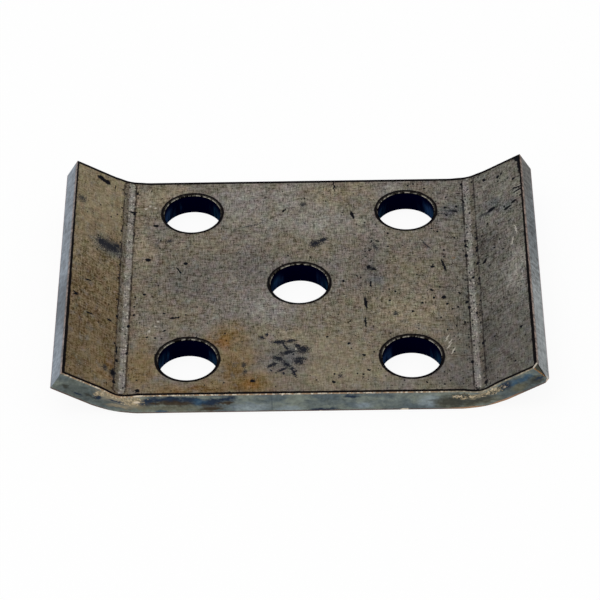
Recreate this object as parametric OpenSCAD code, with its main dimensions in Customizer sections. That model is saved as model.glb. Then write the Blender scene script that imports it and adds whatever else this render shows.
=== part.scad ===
/* [Plate] */
// Thickness of the steel
plate_t = 6.35; // [4:0.05:9]
// Depth of the plate, along the spring
plate_d = 83.3; // [78:0.1:140]
// Distance between the two bend lines on the upper face
bend_span = 91.2; // [86:0.1:140]

/* [Wings] */
// Length of each wing on its upper face, from the bend line to the sheared end
wing_l = 16.15; // [12:0.05:40]
// Angle by which each wing rises from the seat
bend_angle = 31; // [15:1:45]
// Inside radius of each bend
bend_r = 7; // [5:0.5:12]

/* [Holes] */
// Diameter of the four U-bolt holes
bolt_hole_d = 15.875; // [10:0.025:18]
// Distance between the U-bolt holes across the spring
bolt_pitch_x = 57.15; // [45:0.05:62]
// Distance between the U-bolt holes along the spring
bolt_pitch_y = 57.15; // [45:0.05:62]
// Diameter of the hole for the head of the spring's centre bolt
centre_hole_d = 15.875; // [8:0.025:24]
// Reach of the rounding that the piercing punch draws into the upper rim of each hole
hole_roll = 0.35; // [0.1:0.05:1]

/* [Sheared edges] */
// Reach of the rounding that the shear draws into the upper edges
edge_roll = 0.5; // [0.1:0.05:1]
// Width, at the underside, of the facet that a knock has left on the front right corner
knock_w = 1.4; // [0.5:0.1:4]
// Height that this facet climbs up the corner
knock_h = 5.4; // [2:0.1:6]

/* [Bend marks] */
// Width of the strip that the nose of the bending punch presses into each bend
strip_w = 3; // [1.5:0.1:4]
// Radius of the nose of the bending punch
nose_r = 4; // [3:0.1:5]
// Gap from each end of the strip to the plate's front or back face
strip_gap = 0.4; // [0.2:0.1:8]
// Height by which the squeezed inside of a bend swells out of the front and back faces
swell_h = 0.4; // [0.2:0.05:1]
// Distance from the middle of a bend at which the swelling has died out
swell_reach = 4.6; // [3:0.1:6]
// Depth by which the stretched outside of a bend draws in from the front and back faces
neck_h = 0.5; // [0.2:0.05:1]
// Distance from the middle of a bend, along the lower edge, at which the necking has died out
neck_reach = 6; // [4:0.1:8]
// Height that the necking climbs up the face from the lower edge
neck_rise = 3; // [1.5:0.1:3.9]

/* [Hidden] */
$fn = 128;

steel_colour = [0.41, 0.38, 0.33];
// Overshoot of a cut past the face that it starts from
over = 0.5;
// Extra radius of a bend's arcs, so that they run into the flats at a clean edge
hair = 0.002;

half_bend = bend_angle / 2;
bend_outer_r = bend_r + plate_t;
// Where the flat seat ends and the bend begins, measured from the middle of the plate
seat_end = bend_span / 2 - bend_r * tan(half_bend);
// Flat stretch of each wing, from the end of the bend to the sheared end
wing_flat = wing_l - bend_r * tan(half_bend);
// Upper corner of the right wing's end
wing_tip = [bend_span / 2 + wing_l * cos(bend_angle), plate_t + wing_l * sin(bend_angle)];
overall_w = 2 * (wing_tip.x + plate_t * sin(bend_angle));

// Depth of the pressed strip below the bend: the nose's own sagitta less that of the bend
strip_depth = sagitta(nose_r, strip_w) - sagitta(bend_r, strip_w);
// Half the length of the strip's straight run, between the middles of its round ends
strip_half = plate_d / 2 - strip_gap - strip_w / 2;
// Ball whose cap is the swelling
swell_r = (swell_reach * swell_reach + swell_h * swell_h) / (2 * swell_h);
// Ball that bites out the necking, and the circle in which it meets the face
neck_r = neck_reach * neck_reach / (2 * neck_h);
neck_foot_r = (neck_reach * neck_reach + neck_rise * neck_rise) / (2 * neck_rise);
// The facet leans over by this angle, to run out on the corner at knock_h
knock_lean = atan(knock_w / sqrt(2) / knock_h);

function sagitta(r, chord) = r - sqrt(r * r - chord * chord / 4);

module both_sides() {
    children();
    mirror([1, 0, 0]) children();
}

module both_faces() {
    children();
    mirror([0, 1, 0]) children();
}

// Puts what is drawn along +X at the axis of the right bend, turned by part of the bend
module at_bend(turn) {
    translate([seat_end, 0, plate_t + bend_r]) rotate([0, -turn, 0]) children();
}

// Puts what is drawn along +X on the underside of the right wing, from the end of the bend
module on_wing() {
    at_bend(bend_angle) translate([0, 0, -bend_outer_r]) children();
}

// Sweeps a profile of depth and height along +X, from the origin
module along_width(length) {
    rotate([90, 0, 90]) linear_extrude(length) children();
}

// Sweeps a profile of width and height along Y, through the origin
module along_depth(length) {
    rotate([90, 0, 0]) linear_extrude(length, center = true) children();
}

// The sharp corner of the right bend beyond an arc of this radius about the bend's axis
module bend_corner(r) {
    reach = r + over;
    translate([seat_end, plate_t + bend_r]) difference() {
        polygon([
            [0, 0],
            [0, -reach],
            reach / cos(half_bend) * [sin(half_bend), -cos(half_bend)],
            reach * [sin(bend_angle), -cos(bend_angle)]
        ]);
        circle(r + hair);
    }
}

// Right half of the folded plate's profile with sharp corners, from the middle outwards
module half_profile() {
    polygon([
        [-over, 0],
        [bend_span / 2 + plate_t * tan(half_bend), 0],
        wing_tip + plate_t * [sin(bend_angle), -cos(bend_angle)],
        wing_tip,
        [bend_span / 2, plate_t],
        [-over, plate_t]
    ]);
}

// Profile of the folded plate, seen from the front
module folded_profile() {
    for (side = [0, 1]) mirror([side, 0]) difference() {
        union() {
            half_profile();
            bend_corner(bend_r);
        }
        bend_corner(bend_outer_r);
    }
}

// What a rounded edge takes away from a corner that points along +X and +Y
module edge_relief(reach) {
    // The arc's middle lies a little deeper than the reach, so the rounding ends in a faint arris
    deep = 1.25 * reach;
    difference() {
        translate([-reach, -reach]) square(reach + over);
        translate([-deep, -deep]) circle(norm([deep, deep - reach]));
    }
}

// What the shear takes off the back of the plate, leaving the swelling at each bend
module sheared_back() {
    difference() {
        union() {
            translate([-overall_w / 2 - over, plate_d / 2, -over])
                cube([overall_w + 2 * over, swell_h + 2 * over, wing_tip.y + 2 * over]);
            translate([-seat_end, plate_d / 2, plate_t]) along_width(2 * seat_end) edge_relief(edge_roll);
            both_sides() on_wing() translate([0, plate_d / 2, plate_t])
                along_width(wing_flat + over) edge_relief(edge_roll);
        }
        both_sides() swelling_ball();
    }
}

// The ball whose cap stands out of the back face, on the inside of the right bend
module swelling_ball() {
    at_bend(half_bend) translate([0, plate_d / 2 + swell_h - swell_r, -bend_r]) sphere(swell_r);
}

// The ball that draws in the back face, on the outside of the right bend
module necking_ball() {
    stand_off = sqrt(neck_r * neck_r - neck_foot_r * neck_foot_r);
    at_bend(half_bend)
        translate([0, plate_d / 2 + stand_off, neck_rise - bend_outer_r - neck_foot_r]) sphere(neck_r);
}

// What the shear takes off the upper edge of the right wing's end
module sheared_end() {
    on_wing() translate([wing_flat, 0, plate_t]) along_depth(plate_d + 2 * over) edge_relief(edge_roll);
}

// The round-ended groove that the punch nose leaves in the right bend
module punch_strip() {
    at_bend(half_bend) translate([0, 0, nose_r - bend_r - strip_depth]) {
        rotate([90, 0, 0]) cylinder(h = 2 * strip_half, r = nose_r, center = true);
        both_faces() translate([0, strip_half, 0]) sphere(nose_r);
    }
}

// A pierced hole with its upper rim drawn in
module pierced_hole(d) {
    translate([0, 0, -over]) cylinder(h = plate_t + 2 * over, d = d);
    translate([0, 0, plate_t]) rotate_extrude() translate([d / 2, 0]) mirror([1, 0]) edge_relief(hole_roll);
}

module bolt_holes() {
    for (x = [-0.5, 0.5], y = [-0.5, 0.5])
        translate([x * bolt_pitch_x, y * bolt_pitch_y, 0]) pierced_hole(bolt_hole_d);
}

// The facet knocked off the lower front corner of the right wing
module knocked_corner() {
    size = 2 * plate_t;
    on_wing() translate([wing_flat, -plate_d / 2, knock_h]) rotate([0, 0, -45]) rotate([0, knock_lean, 0])
        translate([0, -size / 2, -size]) cube(size);
}

// The plate, folded, pierced and marked by the bending punch
module tie_plate() {
    color(steel_colour) difference() {
        along_depth(plate_d + 2 * (swell_h + over)) folded_profile();
        both_faces() {
            sheared_back();
            both_sides() necking_ball();
        }
        both_sides() {
            sheared_end();
            punch_strip();
        }
        bolt_holes();
        pierced_hole(centre_hole_d);
        knocked_corner();
    }
}

tie_plate();
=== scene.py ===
import math

import bmesh
import bpy
from mathutils import Matrix, Vector


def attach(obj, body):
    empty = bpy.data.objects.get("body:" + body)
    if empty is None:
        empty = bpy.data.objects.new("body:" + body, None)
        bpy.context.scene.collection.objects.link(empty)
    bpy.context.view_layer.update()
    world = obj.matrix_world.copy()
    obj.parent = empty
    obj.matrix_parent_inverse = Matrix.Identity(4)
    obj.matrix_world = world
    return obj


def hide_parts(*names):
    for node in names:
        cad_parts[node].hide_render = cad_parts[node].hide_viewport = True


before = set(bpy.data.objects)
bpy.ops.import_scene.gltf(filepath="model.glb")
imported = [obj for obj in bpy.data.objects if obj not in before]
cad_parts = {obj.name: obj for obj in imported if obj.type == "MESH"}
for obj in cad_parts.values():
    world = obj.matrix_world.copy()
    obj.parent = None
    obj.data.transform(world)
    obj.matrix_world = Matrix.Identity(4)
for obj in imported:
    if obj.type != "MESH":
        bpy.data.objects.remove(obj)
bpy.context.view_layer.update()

mm = 0.001

# sizes of the folded plate in millimetres
plate = {
    "thick": 6.35,
    "depth": 83.3,
    "bendSpan": 91.2,       # between the two bend lines
    "wing": 16.15,          # from a bend line to the end of its wing
    "rise": 31.0,           # degrees
    "bendRadius": 7.0,      # inside the bend
    "holeRadius": 7.5,      # left by the punch
    "breakRadius": 15.875 / 2,  # torn open at the underside
    "breakHeight": 3.8,
    "pitch": 57.15,         # between the bolt holes, both ways
    "cell": 1.2,            # mesh spacing
    "bendSteps": 12,
    "rimRows": 10,
    "edgeRoll": 0.3,        # rounding drawn in by the shear
    "lowerBreak": 0.15,
    "cornerBreak": 0.2,
    "swell": 0.4,           # steel squeezed out inside a bend
    "swellReach": 4.6,
    "neck": 0.5,            # steel drawn in outside a bend
    "neckReach": 5.5,
    "holeRoll": 0.48,       # upper rim drawn in by the punch
    "rollTurn": 80.0,       # degrees of that rim's rounding
    "holeSides": 96,
    "rollSteps": 4,
    "stripHalf": 1.5,       # half the flattened strip of the press tool
    "noseRadius": 4.0,
    "stripGap": 0.4,        # from the strip's tip to the edge
    "knockWidth": 1.4,      # knocked front corner of the right wing
    "knockHeight": 5.4,
    "knockTip": 0.75,       # depth of the small cut at its lower tip
    "tipLean": 0.6,         # how far that cut leans under
}

rise = math.radians(plate["rise"])
halfTan = math.tan(rise / 2)
bendLine = plate["bendSpan"] / 2
halfDepth = plate["depth"] / 2
thick = plate["thick"]
seatEnd = bendLine - plate["bendRadius"] * halfTan
wingFlat = plate["wing"] - plate["bendRadius"] * halfTan
bendAxis = Vector((seatEnd, 0, thick + plate["bendRadius"]))
wingWay = Vector((math.cos(rise), 0, math.sin(rise)))
wingUp = Vector((-math.sin(rise), 0, math.cos(rise)))
stripReach = halfDepth - plate["stripGap"] - plate["stripHalf"]
bolt = plate["pitch"] / 2
holes = [(0, 0)] + [(bolt * way, bolt * row) for way in (-1, 1) for row in (-1, 1)]


def activate(piece):
    bpy.ops.object.select_all(action="DESELECT")
    piece.select_set(True)
    bpy.context.view_layer.objects.active = piece


def edit(piece):
    activate(piece)
    bpy.ops.object.mode_set(mode="EDIT")


def leave():
    bpy.ops.object.mode_set(mode="OBJECT")


def pick(piece, kind, test):
    # selects the verts, edges or faces that pass the test
    bpy.ops.mesh.select_all(action="DESELECT")
    bpy.ops.mesh.select_mode(type=kind)
    mesh = bmesh.from_edit_mesh(piece.data)
    mesh.normal_update()
    for part in {"VERT": mesh.verts, "EDGE": mesh.edges, "FACE": mesh.faces}[kind]:
        if test(part):
            part.select_set(True)
    if kind == "VERT":
        mesh.select_flush(True)
    else:
        mesh.select_flush_mode()
    bmesh.update_edit_mesh(piece.data)


def applyModifier(piece, kind, **settings):
    activate(piece)
    modifier = piece.modifiers.new(kind.lower(), kind)
    for name, value in settings.items():
        setattr(modifier, name, value)
    bpy.ops.object.modifier_apply(modifier=modifier.name)


def onBend(radius, part):
    # point round the right bend, part 0 at the seat and 1 at the wing
    turn = rise * part
    return bendAxis + radius * Vector((math.sin(turn), 0, -math.cos(turn)))


def foldSheet():
    # upper skin of the right half, then mirrored and thickened downwards
    bpy.ops.object.select_all(action="DESELECT")
    acrossCells = round(seatEnd / plate["cell"])
    deepCells = round(plate["depth"] / plate["cell"])
    wingCells = round(wingFlat / plate["cell"])
    bpy.ops.mesh.primitive_grid_add(x_subdivisions=acrossCells, y_subdivisions=deepCells, size=1)
    piece = bpy.context.object
    piece.name = "tiePlate"
    piece.data.name = "tiePlate"
    bpy.ops.object.mode_set(mode="EDIT")
    bpy.ops.transform.resize(value=(seatEnd * mm, plate["depth"] * mm, 1))
    bpy.ops.transform.translate(value=(seatEnd / 2 * mm, 0, thick * mm))
    pick(piece, "VERT", lambda vert: vert.co.x > (seatEnd - 0.01) * mm)
    bpy.ops.mesh.spin(steps=plate["bendSteps"], angle=rise, center=bendAxis * mm, axis=(0, 1, 0))
    for cell in range(wingCells):
        step = wingWay * (wingFlat / wingCells * mm)
        bpy.ops.mesh.extrude_edges_move(TRANSFORM_OT_translate={"value": step})
    leave()
    applyModifier(piece, "MIRROR", use_axis=(True, False, False), merge_threshold=1e-6)
    applyModifier(piece, "SOLIDIFY", thickness=thick * mm, offset=-1, use_even_offset=True)
    return piece


def shearEdges(piece):
    # rows down the sheared edges, so that they can swell and roll
    edit(piece)
    pick(piece, "EDGE", lambda edge: edge.calc_length() > thick * 0.9 * mm)
    bpy.ops.mesh.subdivide(number_cuts=plate["rimRows"] - 1)
    leave()


def workBends(piece):
    # at the sheared edges each bend swells inside and necks outside
    edit(piece)
    inside = (plate["bendRadius"], plate["swell"], plate["swellReach"])
    outside = (plate["bendRadius"] + thick, -plate["neck"], plate["neckReach"])
    for radius, push, reach in (inside, outside):
        for way in (-1, 1):
            for row in (-1, 1):
                spot = onBend(radius, 0.5)
                spot = Vector((spot.x * way, halfDepth * row, spot.z)) * mm
                verts = bmesh.from_edit_mesh(piece.data).verts
                near = min(verts, key=lambda vert: (vert.co - spot).length).index
                pick(piece, "VERT", lambda vert: vert.index == near)
                bpy.ops.transform.translate(
                    value=(0, push * row * mm, 0), use_proportional_edit=True,
                    proportional_edit_falloff="INVERSE_SQUARE", proportional_size=reach * mm)
    leave()


def sharpNormals(edge):
    # normals of the two faces at a sharp edge, or none
    if len(edge.link_faces) != 2:
        return None
    first, second = (face.normal for face in edge.link_faces)
    return (first, second) if first.dot(second) < 0.5 else None


def skinEdge(edge, way):
    # sharp edge of the upper (way 1) or lower (way -1) skin
    normals = sharpNormals(edge)
    return normals is not None and max(way * normal.z for normal in normals) > 0.8


def cornerEdge(edge):
    normals = sharpNormals(edge)
    return normals is not None and max(abs(normal.z) for normal in normals) < 0.7


def breakEdges(piece):
    edit(piece)
    pick(piece, "EDGE", lambda edge: skinEdge(edge, 1))
    bpy.ops.mesh.bevel(offset=plate["edgeRoll"] * mm, segments=4, profile=0.5)
    pick(piece, "EDGE", lambda edge: skinEdge(edge, -1))
    bpy.ops.mesh.bevel(offset=plate["lowerBreak"] * mm, segments=2, profile=0.5)
    pick(piece, "EDGE", cornerEdge)
    bpy.ops.mesh.bevel(offset=plate["cornerBreak"] * mm, segments=2, profile=0.5)
    leave()


def holePunch(place):
    # plug of a pierced hole: torn wider below, straight, then flared at the drawn-in rim
    bpy.ops.object.select_all(action="DESELECT")
    over = 1.0
    flat = thick - plate["holeRoll"]
    start = Vector((place[0], place[1], -over)) * mm
    radius = plate["breakRadius"]
    straight = plate["holeRadius"]
    roll = plate["holeRoll"]
    rollTurn = math.radians(plate["rollTurn"])
    bpy.ops.mesh.primitive_circle_add(
        vertices=plate["holeSides"], radius=radius * mm, fill_type="NGON", location=start)
    punch = bpy.context.object
    rings = [(radius, 0), (straight, plate["breakHeight"]), (straight, flat)]
    for step in range(1, plate["rollSteps"] + 1):
        turn = rollTurn * step / plate["rollSteps"]
        rings.append((straight + roll * (1 - math.cos(turn)), flat + roll * math.sin(turn)))
    lip = over / 4
    rings.append((rings[-1][0] + lip * math.tan(rollTurn), rings[-1][1] + lip))
    bpy.ops.object.mode_set(mode="EDIT")
    height = -over
    for ring, level in rings:
        bpy.ops.mesh.extrude_region_move(TRANSFORM_OT_translate={"value": (0, 0, (level - height) * mm)})
        centre = Vector((place[0], place[1], level)) * mm
        bpy.ops.transform.resize(value=(ring / radius, ring / radius, 1), center_override=centre)
        radius = ring
        height = level
    bpy.ops.mesh.select_all(action="SELECT")
    bpy.ops.mesh.normals_make_consistent(inside=False)
    leave()
    return punch


def stripPunch(way):
    # nose of the press tool along a bend, with round tips
    bpy.ops.object.select_all(action="DESELECT")
    nose = plate["noseRadius"]
    half = plate["stripHalf"]
    bend = plate["bendRadius"]
    # how far the nose goes below the bend for a strip of this width
    sink = nose - math.sqrt(nose ** 2 - half ** 2) - (bend - math.sqrt(bend ** 2 - half ** 2))
    middle = onBend(bend - nose + sink, 0.5)
    bpy.ops.mesh.primitive_uv_sphere_add(
        segments=128, ring_count=64, radius=nose * mm, rotation=(math.pi / 2, 0, 0),
        location=Vector((middle.x * way, 0, middle.z)) * mm)
    punch = bpy.context.object
    bpy.ops.object.transform_apply(location=True, rotation=True, scale=True)
    bpy.ops.object.mode_set(mode="EDIT")
    for row in (-1, 1):
        pick(punch, "VERT", lambda vert: vert.co.y * row > 0.01 * mm)
        bpy.ops.transform.translate(value=(0, stripReach * row * mm, 0))
    leave()
    return punch


def punchPlate(piece):
    # one cut with every tool joined: cut one by one, the plate opens a little
    # and a later cut can leave its tool behind
    tools = [holePunch(place) for place in holes] + [stripPunch(way) for way in (-1, 1)]
    activate(tools[0])
    for tool in tools:
        tool.select_set(True)
    bpy.ops.object.join()
    applyModifier(piece, "BOOLEAN", operation="DIFFERENCE", object=tools[0], solver="EXACT")
    bpy.data.objects.remove(tools[0])


def knockCorner(piece):
    # the front corner of the right wing is knocked flat
    edit(piece)
    top = Vector((bendLine, -halfDepth, thick)) + wingWay * plate["wing"]
    outward = (wingWay + Vector((0, -1, 0))).normalized()
    low = top - wingUp * plate["knockHeight"]
    lean = math.atan2(plate["knockWidth"] * math.sqrt(0.5), plate["knockHeight"])
    normal = outward * math.cos(lean) + wingUp * math.sin(lean)
    under = (outward - wingUp * plate["tipLean"]).normalized()
    tip = top - wingUp * thick - under * plate["knockTip"]
    for spot, way in ((low, normal), (tip, under)):
        bpy.ops.mesh.select_all(action="SELECT")
        bpy.ops.mesh.bisect(
            plane_co=spot * mm, plane_no=way, use_fill=True, clear_outer=True, threshold=1e-6)
    leave()


def isPierced(centre):
    reach = plate["holeRadius"] + plate["holeRoll"] - 0.02
    return any(math.hypot(centre.x / mm - x, centre.y / mm - y) < reach for x, y in holes)


def assignFinishes(piece, finishes):
    # skin, sheared sides, sheared ends and pierced walls by place and normal
    endFacing = 0.59
    sideFacing = 0.7
    for finish in finishes:
        piece.data.materials.append(finish)
    for face in piece.data.polygons:
        away = math.copysign(1, face.center.x)
        outward = face.normal.x * away * wingWay.x + face.normal.z * wingWay.z
        if isPierced(face.center):
            face.material_index = 3
        elif outward > endFacing and abs(face.center.x) > bendLine * mm:
            face.material_index = 2
        elif abs(face.normal.y) > sideFacing:
            face.material_index = 1
        else:
            face.material_index = 0


plateObject = foldSheet()
print("sheet folded,", len(plateObject.data.polygons), "faces")
shearEdges(plateObject)
workBends(plateObject)
breakEdges(plateObject)
print("edges sheared,", len(plateObject.data.polygons), "faces")
punchPlate(plateObject)
knockCorner(plateObject)
print("holes pierced,", len(plateObject.data.polygons), "faces")


class Wire:
    # a shader socket that can stand in a Python expression
    def __init__(self, tree, socket=None):
        self.tree = tree
        self.socket = socket

    def node(self, kind, settings=None, sockets=None, out=0):
        made = self.tree.nodes.new(kind)
        for name, value in (settings or {}).items():
            setattr(made, name, value)
        for name, value in (sockets or {}).items():
            if isinstance(value, Wire):
                self.tree.links.new(value.socket, made.inputs[name])
            else:
                made.inputs[name].default_value = value
        return Wire(self.tree, made.outputs[out] if made.outputs else None)

    def math(self, operation, first, second=0.0):
        return self.node("ShaderNodeMath", {"operation": operation}, {0: first, 1: second})

    def __add__(self, other):
        return self.math("ADD", self, other)

    def __radd__(self, other):
        return self.math("ADD", other, self)

    def __sub__(self, other):
        return self.math("SUBTRACT", self, other)

    def __rsub__(self, other):
        return self.math("SUBTRACT", other, self)

    def __mul__(self, other):
        return self.math("MULTIPLY", self, other)

    def __rmul__(self, other):
        return self.math("MULTIPLY", other, self)

    def __abs__(self):
        return self.math("ABSOLUTE", self)

    def least(self, other):
        return self.math("MINIMUM", self, other)

    def most(self, other):
        return self.math("MAXIMUM", self, other)

    def root(self):
        return self.math("SQRT", self)

    def fade(self, start, end):
        # 0 at start, 1 at end, smooth between
        return self.node(
            "ShaderNodeMapRange", {"interpolation_type": "SMOOTHSTEP"},
            {"Value": self, "From Min": start, "From Max": end})

    def stretch(self, scale):
        return self.node("ShaderNodeVectorMath", {"operation": "MULTIPLY"}, {0: self, 1: scale})

    def noise(self, scale, detail=2.0, roughness=0.5):
        # a noise of this many features a millimetre, each way
        place = self.stretch(scale)
        return self.node("ShaderNodeTexNoise", None, {
            "Vector": place, "Scale": 1.0, "Detail": detail, "Roughness": roughness})

    def warp(self, scale, reach):
        # the same plan pushed about, so that outlines come out ragged
        push = self.node("ShaderNodeTexNoise", None, {
            "Vector": self.stretch((scale, scale, scale)), "Scale": 1.0, "Detail": 2.0}, 1)
        push = push.node("ShaderNodeVectorMath", {"operation": "SUBTRACT"}, {0: push, 1: (0.5, 0.5, 0.5)})
        push = push.stretch((reach * 2, reach * 2, 0))
        return self.node("ShaderNodeVectorMath", {"operation": "ADD"}, {0: self, 1: push})

    def dot(self, vector):
        return self.node("ShaderNodeVectorMath", {"operation": "DOT_PRODUCT"}, {0: self, 1: vector}, 1)

    def blots(self, ovals):
        # 0 in the middle of the nearest oval on a plan (x, y, 1), 1 on its outline
        nearest = None
        for x, y, halfLong, halfWide, turn in ovals:
            c = math.cos(math.radians(turn))
            s = math.sin(math.radians(turn))
            long = self.dot((c / halfLong, s / halfLong, -(x * c + y * s) / halfLong))
            wide = self.dot((-s / halfWide, c / halfWide, (x * s - y * c) / halfWide))
            one = long * long + wide * wide
            nearest = one if nearest is None else nearest.least(one)
        return nearest.root()

    def between(self, first, second, factor):
        return self.node("ShaderNodeMix", {"data_type": "RGBA"}, {0: factor, 6: first, 7: second}, 2)

    def blend(self, other, factor):
        return self.between(self, other, factor)

    def pits(self, scale, spread, fewer):
        # small dots of random size in random places, fewer as the last value grows
        cells = self.node("ShaderNodeTexVoronoi", None, {"Vector": self.stretch(scale), "Scale": 1.0})
        dots = cells.socket.node.outputs
        chance = self.node("ShaderNodeSeparateColor", None, {0: Wire(self.tree, dots["Color"])})
        return (cells - chance * spread + fewer).fade(0.06, -0.06)

    def tone(self, factor):
        # a colour made lighter or darker
        return self.node("ShaderNodeVectorMath", {"operation": "SCALE"}, {0: self, "Scale": factor})

    def lighten(self, amount):
        # the same partly with plain grey, so that light and dark threads keep one hue
        own = self.tone(amount * 0.67 + 1.0)
        grey = self.node("ShaderNodeVectorMath", {"operation": "SCALE"}, {
            0: (0.1, 0.1, 0.1), "Scale": amount * 0.42})
        return self.node("ShaderNodeVectorMath", {"operation": "ADD"}, {0: own, 1: grey})

    def speckle(self, place, scale, spread):
        # a colour whose red, green and blue wander apart a little
        hues = place.node("ShaderNodeTexNoise", None, {
            "Vector": place.stretch(scale), "Scale": 1.0, "Detail": 2.0}, 1)
        hues = hues.stretch((spread, spread, spread))
        level = 1 - spread / 2
        hues = hues.node("ShaderNodeVectorMath", {"operation": "ADD"}, {0: hues, 1: (level, level, level)})
        return self.node("ShaderNodeVectorMath", {"operation": "MULTIPLY"}, {0: self, 1: hues})


def paint(red, green, blue):
    # colour as seen, 0 to 255, in the linear values of a shader
    def linear(level):
        level = level / 255
        return level / 12.92 if level <= 0.04045 else ((level + 0.055) / 1.055) ** 2.4
    return (linear(red), linear(green), linear(blue), 1.0)


def startFinish(name):
    material = bpy.data.materials.new(name)
    material.use_nodes = True
    tree = material.node_tree
    tree.nodes.clear()
    return material, Wire(tree)


def endFinish(start, colour, roughness, metallic, height, dent, specular):
    # the steel shader with its bump
    bump = start.node("ShaderNodeBump", None, {"Height": height, "Strength": 1.0, "Distance": dent * mm})
    steel = start.node("ShaderNodeBsdfPrincipled", None, {
        "Base Color": colour, "Roughness": roughness, "Metallic": metallic, "Normal": bump,
        "Specular IOR Level": specular})
    start.node("ShaderNodeOutputMaterial", None, {"Surface": steel})


def plateFields(start):
    # places on the plate in millimetres, for every finish
    place = start.node("ShaderNodeTexCoord", None, None, 3)
    place = place.node("ShaderNodeVectorMath", {"operation": "SCALE"}, {0: place, "Scale": 1 / mm})
    split = place.node("ShaderNodeSeparateXYZ", None, {0: place})
    axes = [Wire(start.tree, out) for out in split.socket.node.outputs]
    x, y, z = axes
    out = abs(x) - bendLine
    lift = z - thick
    fields = {"place": place, "x": x, "y": y, "z": z, "out": out}
    fields["plan"] = start.node("ShaderNodeCombineXYZ", None, {0: x, 1: y, 2: 1.0})
    # along the wing from its bend line, and down from the seat's or the wing's upper face
    fields["along"] = out * wingWay.x + lift * wingWay.z
    fields["end"] = plate["wing"] - fields["along"]
    fields["below"] = (out * wingWay.z - lift * wingWay.x).most(-1.0 * lift)
    # in from the front or the back edge, which swells at the bends
    inner = onBend(plate["bendRadius"], 0.5)
    fromBend = ((abs(x) - inner.x) * (abs(x) - inner.x) + (z - inner.z) * (z - inner.z)).root()
    bulge = (1.0 - fromBend * fromBend * (1 / plate["swellReach"] ** 2)).most(0.0) * plate["swell"]
    fields["side"] = halfDepth - abs(y) + bulge
    # across the flattened strip, from its middle towards the wing
    fields["across"] = (abs(x) - inner.x) * math.cos(rise / 2) + (z - inner.z) * math.sin(rise / 2)
    # out from the nearest hole's axis
    boltX = abs(x) - bolt
    boltY = abs(y) - bolt
    fields["hole"] = (boltX * boltX + boltY * boltY).root().least((x * x + y * y).root())
    return fields


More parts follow.
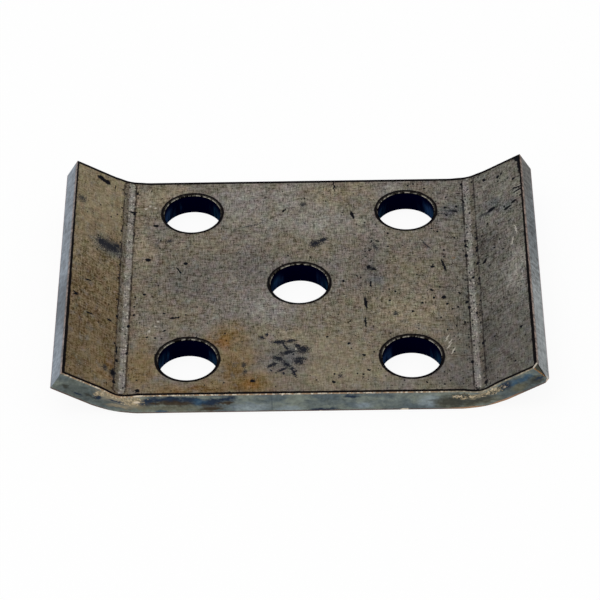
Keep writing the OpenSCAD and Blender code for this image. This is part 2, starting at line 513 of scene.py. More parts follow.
# rolled skin: colours as seen, marks on the plan as x, y, half length, half width and turn
skin = {
    "grey": (107, 101, 94),
    "tan": (110, 102, 87),
    "leftBack": (124, 112, 88),
    "leftFront": (99, 84, 60),
    "rightBack": (101, 97, 89),
    "rightFront": (90, 87, 80),
    "pale": (129, 125, 118),
    "sand": (124, 114, 95),
    "dim": (93, 88, 83),
    "umber": (114, 97, 70),
    "rust": (95, 73, 40),
    "orange": (122, 86, 42),
    "black": (9, 7, 9),
    "ink": (11, 12, 18),        # dark marks
    "soot": (34, 36, 40),       # soft smears
    "smudge": (22, 24, 32),
    "bare": (200, 194, 182),    # fresh scratches
    "strip": (125, 121, 115),
    "stripSide": (91, 85, 75),
    "cool": (99, 102, 105),
    "haze": (80, 83, 85),
    # painted shade along the inside of the right bend
    "dusk": (64, 61, 56),
    "stripLine": (34, 27, 24),
    "threads": 2.3,             # contrast of the woven look
    "grain": 2.0,
    "cloud": 0.8,
    "lift": 0.06,               # overall lightness
    "dent": 0.03,
    "backLine": 1.05,           # black line along the back edge
    "frontLine": 0.75,
    "endLine": 0.88,
    "ring": 1.02,               # black ring round a hole
    "paleAreas": [
        (-14.5, 33.0, 7.0, 9.0, 0), (-3.5, 34.5, 4.5, 6.0, 0), (-8.5, -9.0, 7.0, 6.0, 0),
        (24.0, 37.0, 4.0, 4.0, 0), (56.5, -4.0, 3.0, 10.0, 0), (2.0, 25.0, 16.0, 7.5, 0),
    ],
    "sandAreas": [
        (10.5, -29.5, 12.0, 12.5, 0), (28.6, -11.0, 9.0, 7.0, 0), (8.0, 35.5, 7.0, 5.0, 0),
        (-37.0, 37.0, 8.0, 4.0, 0), (-40.0, -27.0, 4.0, 14.0, 0), (-3.0, -20.0, 7.0, 4.0, 0),
        (-41.5, 14.0, 3.0, 9.0, 0), (20.5, -34.0, 3.0, 5.0, 0), (15.0, 38.0, 4.0, 3.0, 0),
    ],
    "dimAreas": [
        (-29.0, 3.0, 9.0, 9.0, 0), (-12.0, 7.0, 6.0, 5.0, 0), (18.6, 5.0, 4.0, 9.0, 0),
        (38.5, -35.0, 7.0, 8.0, 0), (50.5, 12.0, 4.5, 6.0, 0), (51.0, -31.0, 4.5, 10.0, 0),
        (-47.5, -33.0, 2.5, 6.0, 0),
    ],
    "dark": [
        (-53.2, 38.6, 1.0, 0.95, -32), (-52.3, 38.2, 0.8, 0.75, -31), (-51.5, 37.9, 0.9, 0.85, -17),
        (-49.5, 37.0, 1.4, 0.12, -89),
        (-39.9, 9.9, 0.85, 0.65, 0),
        (-29.9, 8.3, 0.55, 0.6, 0), (-31.6, 5.6, 1.6, 0.3, -60), (-32.2, -12.9, 1.5, 0.35, 15),
        (-38.1, 23.6, 0.8, 0.45, 0), (-53.9, -16.0, 0.9, 0.3, 0), (-48.8, -15.4, 0.6, 0.4, 0),
        (-54.7, -3.7, 0.8, 0.3, 0), (-57.4, -10.6, 0.9, 0.3, 40), (-57.4, -10.6, 0.9, 0.3, -40),
        (-41.0, -40.0, 0.6, 0.6, 0), (-44.6, 29.4, 1.4, 0.3, -15), (-43.5, 37.0, 0.35, 0.6, 0),
        (-40.4, -3.7, 0.5, 0.45, 0), (-42.8, -8.4, 0.3, 0.35, 0), (-42.9, -11.6, 0.3, 0.4, 0),
        (-41.3, -11.6, 0.25, 0.3, 0), (-36.0, -6.6, 0.6, 0.22, 9), (-34.9, -11.1, 0.5, 0.27, 0),
        (-34.8, -17.8, 0.5, 0.3, 22), (-39.2, -20.2, 0.25, 0.35, 0), (-37.1, -20.4, 0.4, 0.3, 0),
        (-46.6, -29.3, 0.4, 0.6, 0), (-46.7, -25.5, 0.25, 1.6, 0), (14.2, 27.0, 1.8, 0.42, -74),
        (-4.1, 29.2, 0.9, 0.35, 50), (9.4, 39.0, 2.3, 0.26, -85), (20.7, 16.2, 0.8, 0.25, -33),
        (19.1, 16.0, 0.7, 0.22, 56), (18.7, 12.7, 0.6, 0.35, 41), (18.2, 5.9, 0.6, 0.7, 0),
        (19.6, 4.9, 0.6, 0.5, 0), (11.5, 0.5, 0.4, 0.5, 0), (15.1, 2.4, 0.35, 0.4, 0),
        (-11.8, -37.0, 0.7, 0.5, 0), (-47.4, -34.3, 0.45, 1.1, 0), (-47.0, -37.4, 0.35, 0.7, 0),
        (37.9, 6.2, 2.6, 0.38, -78), (-44.2, -25.9, 0.4, 0.5, 0), (34.9, 5.5, 0.6, 0.5, 0),
        (18.6, -0.9, 1.2, 0.3, -85), (17.2, -8.2, 2.4, 0.45, -85), (17.0, -15.5, 2.2, 0.25, -88),
        (34.4, -3.5, 0.9, 0.42, -32), (34.9, -6.5, 0.35, 0.42, 0), (37.5, -6.3, 0.7, 0.65, 54),
        (38.3, -9.1, 0.3, 0.42, 0), (41.5, -4.8, 0.5, 0.33, -50), (43.4, -8.4, 0.42, 0.5, 0),
        (42.6, -16.2, 0.3, 0.5, 0), (40.3, -17.4, 0.25, 0.35, 0), (45.8, -13.0, 0.35, 0.5, 0),
        (45.5, 1.0, 0.4, 0.6, 0), (31.8, -8.5, 0.4, 0.45, 0), (29.3, -11.6, 0.42, 0.45, 0),
        (12.6, -23.4, 0.45, 0.45, 0), (7.0, -21.0, 0.4, 0.35, 0), (16.4, -28.0, 0.5, 0.4, 0),
        (17.5, -33.5, 0.5, 0.4, 0), (8.6, -37.8, 0.5, 0.4, 0), (39.0, 29.5, 0.4, 0.5, 0),
        (42.0, 29.8, 0.4, 0.5, 0), (39.4, 26.3, 0.35, 0.4, 0), (41.7, 27.8, 0.9, 0.3, -23),
        (44.0, 31.9, 0.9, 0.35, -63), (42.9, 35.2, 0.8, 0.22, 14), (36.6, 26.8, 0.6, 0.45, -22),
        (49.8, 37.7, 0.45, 0.6, 0), (53.4, 36.3, 0.45, 0.65, 0), (53.4, 34.6, 0.25, 0.32, 0),
        (57.3, 32.7, 0.5, 0.6, 0), (51.1, 24.4, 1.1, 0.7, 25), (59.0, 37.5, 0.45, 3.5, 0),
        (55.3, 22.2, 1.1, 0.5, 20), (57.0, 23.6, 0.8, 0.45, 30), (58.1, 28.8, 1.3, 0.44, 3),
        (58.4, 27.2, 1.0, 0.4, 3), (58.8, 40.3, 1.1, 1.8, 20), (48.6, 5.3, 0.5, 0.9, -30),
        (53.5, 7.0, 0.35, 0.4, 0), (51.2, 9.0, 0.35, 0.35, 0), (56.4, -25.0, 0.45, 0.45, 0),
    ],
    "branches": [
        (-51.9, 13.1, 1.2, 1.5, 12), (-48.9, 12.4, 1.4, 1.3, 0), (-48.2, 13.9, 0.8, 0.9, 0),
        (-50.3, 12.7, 1.3, 1.0, 0),
        (4.3, 15.6, 1.7, 1.3, 25), (6.2, 16.8, 1.4, 0.8, 40),
        (-5.1, -22.6, 2.2, 0.75, 3), (-2.4, -22.2, 1.4, 0.6, 11), (-3.7, -24.3, 2.6, 0.35, -61),
        (0.9, -25.6, 1.6, 1.3, 10), (-0.4, -24.2, 1.2, 0.6, -41), (-3.0, -26.6, 2.3, 0.75, 17),
        (-5.6, -28.7, 1.5, 0.85, -25), (0.0, -28.9, 1.7, 0.6, -5), (-0.2, -30.0, 1.3, 1.2, -4),
        (-7.0, -31.1, 1.5, 0.55, 31), (-4.5, -33.0, 1.5, 0.42, 32), (-3.3, -31.0, 1.6, 0.6, -45),
        (-1.5, -34.1, 1.9, 0.4, -68), (-1.9, -32.6, 0.7, 0.6, 0), (-4.1, -34.2, 0.32, 0.45, 0),
        (-0.9, -33.6, 0.32, 0.45, 0), (-1.6, -27.4, 0.22, 0.32, 0), (-8.4, -19.8, 0.45, 0.6, 0),
        (-9.5, -20.8, 0.6, 0.6, 0), (-7.3, -33.3, 0.28, 0.4, 0),
    ],
    "smears": [
        (-50.2, 12.9, 3.8, 2.9, 3), (1.0, 31.6, 1.1, 1.0, 0), (18.8, 5.4, 1.6, 1.3, 0),
        (20.0, 14.0, 2.0, 0.8, -72), (24.9, -12.3, 0.8, 1.0, 0), (-12.8, 23.2, 3.4, 0.3, 18),
        (40.2, 28.1, 3.3, 0.4, 0), (50.4, 24.0, 2.4, 0.6, 8), (-57.6, 27.0, 1.2, 1.6, 0),
        (-47.4, -34.4, 0.9, 1.8, 0), (-49.3, -33.5, 0.7, 1.4, 0), (-34.4, 17.5, 1.5, 0.8, 30),
        (10.2, -35.6, 0.8, 1.0, 0), (-14.2, -31.0, 0.7, 1.4, 0), (-13.8, -33.4, 0.7, 1.0, 0),
        (33.5, 14.5, 3.4, 0.3, -58), (49.0, 24.0, 1.7, 0.3, 9), (44.0, 29.5, 0.5, 3.4, 0),
        (38.0, 26.9, 2.2, 0.4, 0),
    ],
    "umberAreas": [
        (-18.6, -21.0, 5.5, 5.6, 0), (-16.0, -29.0, 6.0, 6.5, 0), (-13.2, -37.0, 9.5, 5.5, 0),
        (-22.0, -38.8, 8.0, 3.2, 0), (-41.0, -31.0, 4.6, 12.0, 0), (-49.5, -33.0, 4.0, 7.0, 0),
        (-33.0, -39.0, 6.0, 3.0, 0),
    ],
    # where the painted shade lies, along the inside of the right bend
    "duskAreas": [(48.9, 11.8, 3.6, 7.5, 0), (48.6, -26.0, 3.2, 13.0, 0)],
    "hazeAreas": [
        (-50.2, 12.9, 4.4, 3.6, 0), (50.9, 26.2, 3.4, 2.6, -10), (56.0, 24.0, 2.0, 2.4, 0),
        (40.5, 28.0, 4.0, 3.0, 0), (19.5, 1.7, 1.8, 2.0, 0), (-2.5, -29.0, 5.0, 5.5, 0),
    ],
    "rusty": [
        (-19.0, -21.4, 3.2, 4.0, 0), (-13.4, -38.4, 5.0, 3.2, 0), (-17.2, -33.5, 3.0, 4.5, 0),
        (-26.0, -40.0, 9.0, 1.4, 0), (-48.6, -33.0, 2.4, 6.0, 0),
    ],
    "orangeDots": [
        (-19.4, -22.0, 2.2, 3.2, 0), (-12.4, -38.0, 2.4, 2.2, 0), (40.4, 8.9, 0.6, 0.7, 0),
    ],
    "scratches": [
        (37.8, -21.9, 1.6, 0.18, 68), (38.2, -25.0, 1.6, 0.18, 66), (39.2, -26.8, 1.5, 0.18, 67),
        (38.6, -23.2, 1.0, 0.16, 64), (56.9, 12.5, 2.2, 0.2, -80), (55.9, 8.5, 1.6, 0.2, 80),
        (58.8, 27.0, 1.4, 0.2, 10), (58.4, 29.0, 1.0, 0.18, 5), (-41.1, 30.7, 0.45, 0.4, 0),
        (-38.6, 31.0, 0.35, 0.35, 0), (-40.0, 31.8, 0.35, 0.35, 0), (-35.6, 24.8, 0.7, 0.25, -20),
        (-36.4, -14.2, 0.35, 0.4, 0), (-37.2, -16.1, 0.25, 0.3, 0), (-38.7, -17.8, 0.4, 0.45, 0),
        (-0.9, -25.4, 0.25, 0.3, 0),
    ],
}


def skinTints(start, at):
    # grey and tan seat, brown left wing, dull right wing, the broad stains and painted shade along the
    # inside of the right bend
    plan, x, y = at["plan"], at["x"], at["y"]
    patches = at["place"].noise((0.07, 0.05, 0.07), 3.0, 0.6)
    colour = start.between(paint(*skin["grey"]), paint(*skin["tan"]), patches.fade(0.36, 0.64))
    leftFront = (y + patches * 20).fade(45, -5)
    leftWing = start.between(paint(*skin["leftBack"]), paint(*skin["leftFront"]), leftFront)
    rightWing = start.between(paint(*skin["rightBack"]), paint(*skin["rightFront"]), y.fade(35, -20))
    colour = colour.blend(leftWing, x.fade(-41, -47))
    colour = colour.blend(rightWing, (x + patches * 10).fade(40, 52))
    broad = plan.warp(0.11, 5.0)
    stainsAndShade = (("pale", 0.75), ("sand", 0.9), ("dim", 0.8), ("umber", 1.0), ("dusk", 0.5), ("haze", 0.7))
    for tint, share in stainsAndShade:
        area = broad.blots(skin[tint + "Areas"]).fade(1.5, 0.2)
        colour = colour.blend(paint(*skin[tint]), area * share * at["top"])
    rusty = plan.warp(0.3, 3.0).blots(skin["rusty"]).fade(1.3, 0.2) * at["top"]
    colour = colour.blend(paint(*skin["rust"]), rusty * 0.85)
    orange = plan.warp(0.7, 1.5).blots(skin["orangeDots"]).fade(1.3, 0.2) * at["top"]
    return colour.blend(paint(*skin["orange"]), orange * 0.55)


def rolledSkin():
    material, start = startFinish("rolledSkin")
    at = plateFields(start)
    place, plan, x = at["place"], at["plan"], at["x"]
    top = at["below"].fade(0.9, 0.5)        # the marks are on the upper face only
    at["top"] = top
    colour = skinTints(start, at)
    # flattened strips along the bends
    ragged = place.noise((0.9, 0.6, 0.9), 2.0) - 0.5
    across = at["across"]
    beyond = (abs(at["y"]) - stripReach).most(0.0)
    fromStrip = (across * across + beyond * beyond).root() + ragged * 0.4
    inStrip = fromStrip.fade(plate["stripHalf"] + 0.1, plate["stripHalf"] - 0.3) * top
    core = (across + ragged * 1.2).fade(0.5, -0.05)
    strip = start.between(paint(*skin["stripSide"]), paint(*skin["strip"]), core)
    colour = colour.blend(strip, inStrip * 0.8)
    # woven look of the rolled and rubbed scale
    warpThreads = place.noise((2.9, 0.55, 1.3), 2.0, 0.5)
    weftThreads = place.noise((0.65, 1.9, 1.3), 2.0, 0.5)
    grain = place.noise((3.6, 2.6, 3.6), 1.0, 0.5)
    cloud = place.noise((0.3, 0.22, 0.3), 3.0, 0.6)
    weave = (warpThreads + weftThreads - 1.0) * skin["threads"] + (grain - 0.5) * skin["grain"]
    # calmer towards the front of the seat, stronger on the wings
    smooth = x.fade(-45, -49) * at["y"].fade(5, 22) * 0.4
    calm = 1.0 - at["y"].fade(-10, -30) * 0.36 + at["out"].fade(-1, 4) * 0.06 - smooth
    clouds = (cloud - 0.5) * (at["out"].fade(-1, 4) * 0.6 + 1.0)
    shade = weave * calm + clouds * skin["cloud"] + skin["lift"]
    hue = place.noise((0.55, 0.4, 0.55), 2.0, 0.6)
    colour = colour.blend(paint(*skin["cool"]), hue.fade(0.5, 0.75) * 0.3)
    colour = colour.speckle(place, (0.5, 0.4, 0.5), 0.3)
    colour = colour.lighten(shade.most(-0.8))
    # broken dark line round each strip
    gaps = place.noise((0.35, 0.28, 0.35), 3.0, 0.7).fade(0.38, 0.58)
    stripEdge = abs(fromStrip - plate["stripHalf"] - 0.1)
    stripLine = stripEdge.fade(0.34, 0.1) * (0.35 + gaps * 0.6) * top
    colour = colour.blend(paint(*skin["stripLine"]), stripLine)
    # pits, thicker to the right and along the strips
    crowd = x.fade(-5, 42) * 0.06 + stripEdge.fade(1.5, 0.2) * 0.15 * top
    pits = place.pits((0.68, 0.54, 0.68), 0.44, 0.26 - crowd)
    specks = place.pits((1.5, 1.1, 1.5), 0.6, 0.34 - crowd - inStrip * 0.07)
    colour = colour.blend(paint(*skin["ink"]), pits.most(specks * 0.85))
    sparks = place.pits((1.8, 1.3, 1.8), 0.55, 0.42 - inStrip * core * 0.3)
    colour = colour.blend(paint(*skin["bare"]), sparks * 0.6)
    # marks
    rough = plan.warp(1.3, 0.45)
    smears = (rough.blots(skin["smears"]) + (grain - 0.5) * 1.8).fade(1.3, 0.2) * top
    colour = colour.blend(paint(*skin["soot"]), smears * 0.9)
    dark = rough.blots(skin["dark"]).fade(1.2, 0.75)
    branches = (rough.blots(skin["branches"]) + (grain - 0.5) * 2.2).fade(1.5, 0.5) * top
    colour = colour.blend(paint(*skin["smudge"]), branches)
    dark = dark * top
    colour = colour.blend(paint(*skin["ink"]), dark)
    fresh = rough.blots(skin["scratches"]).fade(1.3, 0.5) * top
    colour = colour.blend(paint(*skin["bare"]), fresh * 0.6)
    # black line round every upper edge and hole
    drop = at["below"]
    width = skin["frontLine"] + at["y"].fade(-30, 30) * (skin["backLine"] - skin["frontLine"])
    line = (width - at["side"] - ragged * 0.3 + drop).fade(-0.12, 0.1)
    endWidth = skin["endLine"] * (1.02 - at["y"].fade(-30, 35) * 0.4)
    endLine = (endWidth - at["end"] - ragged * 0.5 + drop).fade(-0.12, 0.1)
    ringEdge = plate["holeRadius"] + skin["ring"]
    fromHole = at["hole"] + ragged * 0.4
    ring = fromHole.fade(ringEdge + 0.1, ringEdge - 0.16)
    lines = line.most(endLine).most(ring) * top
    colour = colour.blend(paint(*skin["black"]), lines)
    dull = lines.most(dark).most(pits)
    height = weave * 0.6 - pits
    endFinish(start, colour, 0.5 + dull * 0.35, 0.45 - dull * 0.4, height, skin["dent"], 0.05)
    return material


# sheared sides: marks on the face as x, z, half length, half height and turn
side = {
    "slate": (88, 98, 101),
    "sage": (121, 128, 119),
    "shade": (79, 86, 84),
    "dusk": (58, 59, 53),
    "navy": (35, 47, 64),
    "teal": (50, 80, 104),
    "bark": (58, 46, 32),
    "olive": (100, 97, 78),
    "sky": (138, 150, 158),
    "buff": (150, 138, 114),
    # rubbed steel with painted sheen where the bends swell
    "rubAndSheenColour": (190, 172, 140),
    "rubDark": (62, 60, 52),
    "rubSoft": (134, 124, 102),
    # pale colour of the painted highlights, also of the bright nicks
    "bead": (222, 208, 187),
    "rim": (160, 132, 104),
    "rimRight": (138, 128, 108),
    "foot": (98, 68, 56),
    "footTan": (176, 134, 100),
    "duskPatches": [
        (38.6, 2.8, 4.6, 2.6, 0), (45.0, 3.2, 4.5, 1.8, 14), (59.4, 10.2, 2.2, 1.7, 31),
        (-53.0, 6.6, 1.6, 0.6, -31), (-58.6, 10.0, 1.2, 0.7, -31),
    ],
    "shadePatches": [
        (-55.5, 8.2, 6.5, 3.4, -31), (-48.5, 3.4, 5.0, 1.4, -24), (55.5, 8.0, 7.0, 3.0, 31),
        (43.0, 3.0, 6.0, 2.2, 0),
    ],
    "skyPatches": [
        (-12.6, 1.5, 5.2, 1.7, 0), (16.1, 1.7, 2.6, 1.3, 0), (32.6, 3.0, 3.0, 2.2, 0),
        (-3.0, 1.2, 4.0, 0.9, 0),
    ],
    "slatePatches": [(4.5, 2.6, 4.5, 1.4, 0), (25.2, 2.6, 3.8, 1.9, 0), (52.5, 4.6, 3.0, 1.0, 25)],
    "olivePatches": [
        (-31.6, 1.6, 9.0, 1.2, 0), (-39.5, 2.0, 4.0, 1.2, 0), (55.3, 7.3, 2.2, 1.3, 31),
        (37.3, 2.2, 3.2, 1.8, 0), (46.0, 2.5, 6.0, 1.3, 15),
    ],
    "barkPatches": [
        (-31.5, 3.4, 5.4, 1.05, 0), (-22.3, 1.7, 3.0, 1.1, 6), (-18.6, 3.4, 2.4, 0.5, 12),
        (-36.5, 3.3, 1.8, 0.6, 0),
    ],
    "navyPatches": [
        (-38.6, 4.1, 2.3, 1.6, 0), (-33.0, 4.7, 7.0, 1.2, -3), (-22.6, 3.6, 3.8, 1.3, 4),
        (-18.5, 4.7, 3.0, 1.1, 6), (6.0, 0.6, 3.8, 0.6, 0), (12.9, 5.0, 1.8, 0.7, 0),
        (51.7, 7.9, 1.9, 1.5, 35), (60.0, 10.4, 1.2, 0.5, 31), (-46.4, 4.6, 2.4, 0.5, -16),
        (-27.5, 4.4, 3.4, 1.1, 0), (-50.9, 6.2, 1.1, 0.9, -28), (-56.0, 7.2, 1.3, 0.4, -31),
    ],
    "tealPatches": [
        (-25.4, 3.8, 1.9, 1.0, 0), (-35.2, 0.9, 1.5, 0.6, 0), (53.8, 9.0, 1.2, 0.8, 31),
        (56.6, 10.6, 3.0, 0.9, 31),
    ],
    "buffPatches": [
        (-47.0, 6.0, 5.0, 1.8, -24), (-42.0, 3.9, 3.6, 2.4, 0), (-45.5, 2.4, 3.4, 0.8, -12),
        (45.0, 4.8, 4.0, 0.9, 18),
    ],
    # rubbed steel with painted sheen where the bends swell
    "rubAndSheenSpots": [
        (-46.6, 6.6, 3.6, 0.9, -24), (-42.2, 4.4, 2.6, 1.4, 0), (-50.4, 7.0, 1.2, 1.0, 0),
        (41.8, 4.3, 3.2, 0.9, 0), (48.4, 6.1, 3.2, 1.0, 28),
    ],
    "nicks": [
        (-4.2, 6.1, 0.25, 0.7, -30), (-40.7, 6.1, 1.4, 0.35, 0), (-41.1, 3.9, 0.9, 0.35, -8),
        (26.4, 0.2, 1.1, 0.4, 0), (5.2, 0.1, 0.5, 0.3, 0),
    ],
    "cracks": [(-7.06, 3.0, 0.14, 2.8, 0), (-36.4, 3.0, 0.12, 1.6, 0)],
}


def shearedSide():
    material, start = startFinish("shearedSide")
    at = plateFields(start)
    place, below, x = at["place"], at["below"], at["x"]
    face = start.node("ShaderNodeCombineXYZ", None, {0: x, 1: at["z"], 2: 1.0})
    front = at["y"].fade(1, -1)
    mottle = place.noise((0.16, 0.16, 0.3), 3.0, 0.6)
    grain = place.noise((1.6, 1.6, 1.6), 2.0, 0.6)
    drawn = place.noise((0.14, 0.14, 1.1), 2.0, 0.6)     # streaks along the plate
    colour = start.between(paint(*side["slate"]), paint(*side["sage"]), mottle.fade(0.36, 0.64))
    soft = face.warp(0.5, 1.1)
    uneven = (grain - 0.5) * 0.5 + (drawn - 0.5) * 0.9
    layers = (("shade", 0.85), ("sky", 0.6), ("slate", 0.6), ("olive", 0.7), ("dusk", 0.85),
              ("buff", 0.8), ("navy", 1.0), ("bark", 0.9), ("teal", 0.75))
    for tint, share in layers:
        patch = (soft.blots(side[tint + "Patches"]) + uneven).fade(1.35, 0.4) * front
        colour = colour.blend(paint(*side[tint]), patch * share)
    fine = place.noise((0.75, 0.75, 0.9), 3.0, 0.75)
    colour = colour.tone(1.0 + (grain - 0.5) * 0.55 + (drawn - 0.5) * 0.35 + (fine - 0.5) * 1.2)
    # steel rubbed bright where the bends swell, with painted sheen where the swelling faces the light
    hatch = place.noise((2.0, 2.0, 1.4), 2.0, 0.6)
    rubAndSheenMask = (face.warp(0.9, 0.9).blots(side["rubAndSheenSpots"]) + (grain - 0.5) * 2.4).fade(1.3, 0.7) * front
    dull = start.between(paint(*side["rubSoft"]), paint(*side["rubDark"]), x.fade(-1, 1))
    rubAndSheenColour = dull.blend(paint(*side["rubAndSheenColour"]), hatch.fade(0.43, 0.58))
    rubAndSheenColour = rubAndSheenColour.blend(paint(*side["bead"]), hatch.fade(0.6, 0.7))
    colour = colour.blend(rubAndSheenColour, rubAndSheenMask * 0.85)
    cracks = face.blots(side["cracks"]).fade(1.3, 0.5) * front
    colour = colour.blend(paint(*side["navy"]), cracks * 0.45)
    # tan line with painted highlights under the upper edge, brown line along the lower one
    broken = place.noise((0.7, 0.7, 0.7), 3.0, 0.7)
    highlightSpots = place.noise((1.6, 1.6, 1.6), 1.0)
    toRight = x.fade(30, 42)
    rim = start.between(paint(*side["rim"]), paint(*side["rimRight"]), toRight)
    rim = rim.blend(paint(*side["bead"]), highlightSpots.fade(0.46, 0.66) * (1.0 - toRight * 0.6))
    rimLine = (below + (broken - 0.5) * 0.4).fade(0.58, 0.32)
    colour = colour.blend(rim, rimLine * (0.3 + broken.fade(0.36, 0.5) * 0.6))
    warm = x.fade(35, 42) * x.fade(58, 52) * front
    foot = start.between(paint(*side["foot"]), paint(*side["footTan"]), warm)
    footLine = (below + (broken - 0.5) * 0.4 + warm * 0.2).fade(thick - 0.6, thick - 0.25)
    colour = colour.blend(foot, footLine * 0.8)
    nicks = face.warp(1.3, 0.4).blots(side["nicks"]).fade(1.2, 0.6) * front
    colour = colour.blend(paint(*side["bead"]), nicks * 0.85)
    endFinish(start, colour, 0.5, 0.4, mottle + grain * 0.3, 0.05, 0.05)
    return material


# sheared ends of the wings
end = {
    "left": (121, 130, 140),
    "leftDim": (88, 96, 105),
    "right": (133, 138, 139),
    "rightMiddle": (88, 94, 97),
    "rightBack": (85, 84, 81),
    "rim": (152, 130, 118),
    "rimDark": (74, 60, 52),
    "speck": (48, 44, 40),
    "foot": (150, 112, 110),
    "knock": (64, 66, 57),          # knocked front corner
    "knockRust": (156, 110, 64),
    "knockPale": (214, 202, 186),
}


def shearedEnd():
    material, start = startFinish("shearedEnd")
    at = plateFields(start)
    place, below, y = at["place"], at["below"], at["y"]
    right = at["x"].fade(-1, 1)
    streaks = place.noise((0.5, 0.12, 0.5), 3.0, 0.6)
    across = start.node("ShaderNodeCombineXYZ", None, {0: y - below * 0.36, 1: below, 2: right * 30})
    shearLines = across.noise((0.9, 0.14, 1.0), 3.0, 0.65)
    grain = place.noise((0.9, 0.7, 0.9), 3.0, 0.75)
    broken = place.noise((0.8, 0.8, 0.8), 3.0, 0.7)
    rightMiddle = (y + streaks * 12).fade(-8, 18)
    rightEnd = start.between(paint(*end["right"]), paint(*end["rightMiddle"]), rightMiddle)
    rightEnd = rightEnd.blend(paint(*end["rightBack"]), (y - below * 3).fade(8, 26))
    leftMiddle = (abs(y + 13) + streaks * 8).fade(19, 6)
    leftEnd = start.between(paint(*end["left"]), paint(*end["leftDim"]), leftMiddle)
    colour = leftEnd.blend(rightEnd, right)
    rough = right * y.fade(-24, 10)
    colour = colour.tone(1.0 + (streaks - 0.5) * 1.2 + (shearLines - 0.5) * (1.1 + rough * 1.9)
                         + (grain - 0.5) * (1.8 + rough * 2.2))
    specks = place.pits((1.0, 1.0, 1.0), 0.6, 0.24 - rough * 0.08) * below.fade(4.5, 1.0)
    colour = colour.blend(paint(*end["speck"]), specks * (0.25 + right * 0.45))
    rim = (below + (broken - 0.5) * 1.6).fade(1.3, 0.6)
    rimTint = start.between(paint(*end["rimDark"]), paint(*end["rim"]), broken.fade(0.4, 0.6))
    colour = colour.blend(rimTint, rim * (0.75 + right * 0.15))
    foot = (below + (broken - 0.5) * 0.3).fade(thick - 0.5, thick - 0.15)
    colour = colour.blend(paint(*end["foot"]), foot * 0.75)
    # the knocked corner, rusty along its front edge and at its tip
    fromFront = halfDepth + y
    knocked = at["end"].fade(0.02, 0.1) * fromFront.fade(3.0, 2.0) * right
    knock = start.between(paint(*end["knock"]), paint(*end["knockRust"]), (below + broken).fade(3.6, 5.4))
    rusty = (fromFront + (broken - 0.5) * 0.5).fade(0.34, 0.1)
    knock = knock.blend(paint(*end["knockRust"]), rusty * broken.fade(0.46, 0.55))
    knock = knock.blend(paint(*skin["black"]), at["end"].fade(0.34, 0.14) * 0.9)
    # painted highlight along the top of the knocked facet
    knock = knock.blend(paint(*end["knockPale"]), below.fade(0.55, 0.25) * 0.8)
    colour = colour.blend(knock, knocked)
    tip = (fromFront + (broken - 0.5) * 0.6).fade(1.3, 0.4) * below.fade(4.2, 5.2) * right
    colour = colour.blend(paint(*end["knockPale"]), tip * 0.55)
    endFinish(start, colour, 0.45, 0.4, streaks + shearLines, 0.03, 0.05)
    return material


# walls left by the punch: navy painted shade inside the hole, blue and teal painted reflection on its
# sides
wall = {
    "deep": (0, 0, 26),
    "blue": (28, 50, 84),
    "teal": (16, 42, 62),
    # painted highlight on the drawn-in rim
    "paintedGlint": (200, 194, 180),
    "brown": (30, 25, 22),
    "black": (5, 4, 6),
}


def piercedWall():
    material, start = startFinish("piercedWall")
    at = plateFields(start)
    place, below = at["place"], at["below"]
    # from the axis of the hole
    fromAxis = abs(at["x"] - at["x"].math("ROUND", at["x"] * (1 / bolt)) * bolt)
    behind = at["y"] - at["y"].math("ROUND", at["y"] * (1 / bolt)) * bolt
    streaks = place.noise((0.8, 0.8, 0.12), 2.0, 0.6)
    hue = place.noise((0.1, 0.1, 0.1), 1.0)
    # painted reflection of the bright room, blue and teal, towards the sides of each hole; painted shade,
    # dark navy, on the rest of the wall
    tint = start.between(paint(*wall["teal"]), paint(*wall["blue"]), hue.fade(0.4, 0.6))
    tint = tint.tone(1.0 + (streaks - 0.5) * 2.0)
    sideReflection = (fromAxis + (streaks - 0.5) * 6).fade(4.0, 7.6) * below.fade(0.8, 3.5)
    colour = start.between(paint(*wall["deep"]), tint, sideReflection)
    # the drawn-in rim: brown, then a broken painted highlight, then black
    broken = place.noise((0.9, 0.9, 0.4), 3.0, 0.7)
    colour = colour.blend(paint(*wall["black"]), (below + (broken - 0.5) * 0.2).fade(0.55, 0.4))
    paintedGlint = below.fade(0.34, 0.24) * broken.fade(0.42, 0.58) * behind.fade(-3.0, 5.0)
    colour = colour.blend(paint(*wall["paintedGlint"]), paintedGlint * 0.8)
    rim = start.between(paint(*wall["black"]), paint(*wall["brown"]), behind.fade(-3, 2))
    colour = colour.blend(rim, (below + (broken - 0.5) * 0.15).fade(0.17, 0.1) * 0.9)
    endFinish(start, colour, 0.8, 0.0, streaks, 0.03, 0.0)
    return material


assignFinishes(plateObject, [rolledSkin(), shearedSide(), shearedEnd(), piercedWall()])
activate(plateObject)
bpy.ops.object.shade_smooth_by_angle(angle=math.radians(25))
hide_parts("tie_plate")
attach(plateObject, "root")
print("finishes given to", plateObject.name)

# studio: an even pale room over a white floor
studio = {
    "ambient": 0.75,
    "floorSize": 3.0,
    "shadow": 0.08,          # share of the floor that takes the shadow
    "keyPower": 2.0,
    "keySize": 0.8,
    "keyPlace": (-0.35, -0.2, 0.9),
}


def backgroundRays(start):
    # camera, glossy and transmission rays see the white background
    ray = start.node("ShaderNodeLightPath")
    outs = ray.socket.node.outputs
    names = ("Is Camera Ray", "Is Glossy Ray", "Is Transmission Ray")
    seen = [Wire(start.tree, outs[name]) for name in names]
    return seen[0].most(seen[1]).most(seen[2])


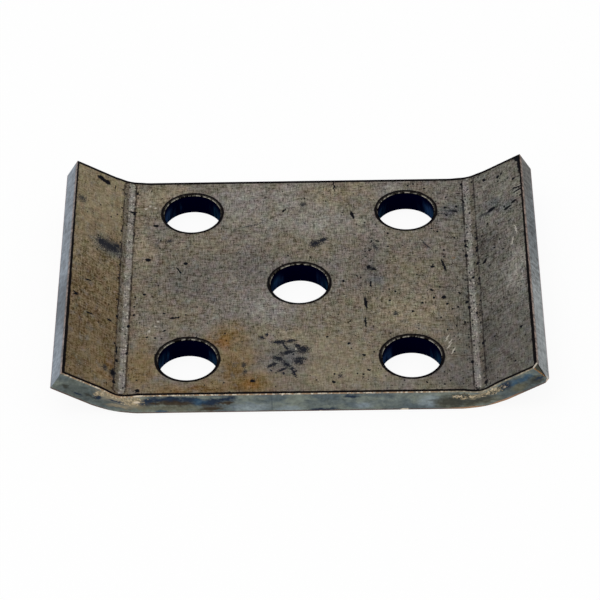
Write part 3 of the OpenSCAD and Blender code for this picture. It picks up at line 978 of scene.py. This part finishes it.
def makeStudio():
    world = bpy.data.worlds.new("paleRoom")
    bpy.context.scene.world = world
    world.use_nodes = True
    world.node_tree.nodes.clear()
    start = Wire(world.node_tree)
    level = studio["ambient"] + backgroundRays(start) * (1 - studio["ambient"])
    room = start.node("ShaderNodeBackground", None, {"Color": (1, 1, 1, 1), "Strength": level})
    start.node("ShaderNodeOutputWorld", None, {"Surface": room})

    bpy.ops.object.select_all(action="DESELECT")
    bpy.ops.mesh.primitive_plane_add(size=studio["floorSize"], location=(0, 0, 0))
    floor = bpy.context.object
    floor.name = "whiteFloor"
    material, start = startFinish("whiteFloor")
    matte = start.node("ShaderNodeBsdfDiffuse", None, {"Color": (1, 1, 1, 1)})
    glow = start.node("ShaderNodeEmission", None, {"Color": (1, 1, 1, 1), "Strength": 1.0})
    share = backgroundRays(start) * (1 - studio["shadow"])
    mixed = start.node("ShaderNodeMixShader", None, {0: share, 1: matte, 2: glow})
    start.node("ShaderNodeOutputMaterial", None, {"Surface": mixed})
    floor.data.materials.append(material)

    lamp = bpy.data.lights.new("softKey", "AREA")
    lamp.energy = studio["keyPower"]
    lamp.size = studio["keySize"]
    key = bpy.data.objects.new("softKey", lamp)
    key.location = studio["keyPlace"]
    key.rotation_euler = (-Vector(studio["keyPlace"])).to_track_quat("-Z", "Y").to_euler()
    bpy.context.scene.collection.objects.link(key)


# camera at the photograph's angle
view = {
    "place": (8.28, -618.79, 558.60),
    "azimuth": 0.762,
    "elevation": 42.055,
    "roll": -1.346,
    "lens": 190.54,
}


def makeCamera():
    camera = bpy.data.cameras.new("camera")
    camera.lens = view["lens"]
    camera.sensor_width = 36
    camera.clip_start = 0.01
    cameraObject = bpy.data.objects.new("camera", camera)
    turn = Matrix.Rotation(math.radians(view["azimuth"]), 4, "Z")
    turn = turn @ Matrix.Rotation(math.radians(90 - view["elevation"]), 4, "X")
    turn = turn @ Matrix.Rotation(math.radians(view["roll"]), 4, "Z")
    cameraObject.matrix_world = Matrix.Translation(Vector(view["place"]) * mm) @ turn
    bpy.context.scene.collection.objects.link(cameraObject)
    bpy.context.scene.camera = cameraObject


makeStudio()
makeCamera()
bpy.context.scene.view_settings.view_transform = "Standard"
print("studio and camera set")
